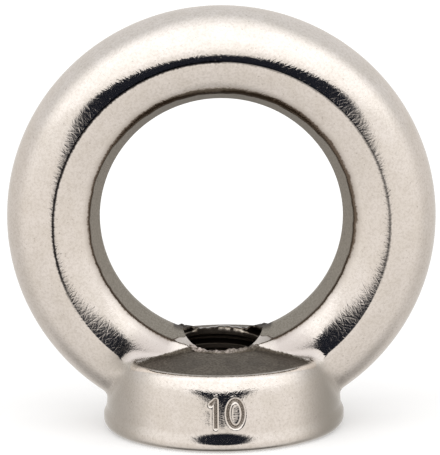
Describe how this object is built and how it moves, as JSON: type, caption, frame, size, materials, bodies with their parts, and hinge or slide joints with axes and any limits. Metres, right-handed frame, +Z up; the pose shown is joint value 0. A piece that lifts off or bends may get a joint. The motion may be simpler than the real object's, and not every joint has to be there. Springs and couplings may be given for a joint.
{
  "type": "lifting eye nut",
  "caption": "One-piece forged eye nut: a round ring for a hook or shackle, standing on a flared collar with a tapped hole through it.",
  "frame": {"origin": "centre of the collar's bearing face, on the axis of the tapped hole", "axes": "+Z up along the tapped hole, from the bearing face towards the ring; the ring stands in the XZ plane, so the eye opens along Y"},
  "size_m": [0.045, 0.0252, 0.045],
  "materials": {
    "steel": "tumbled stainless steel, warm bright grey with fine pits, duller where the eye was trimmed"
  },
  "bodies": {
    "root": {"eye_nut": "steel"}
  },
  "joints": []
}
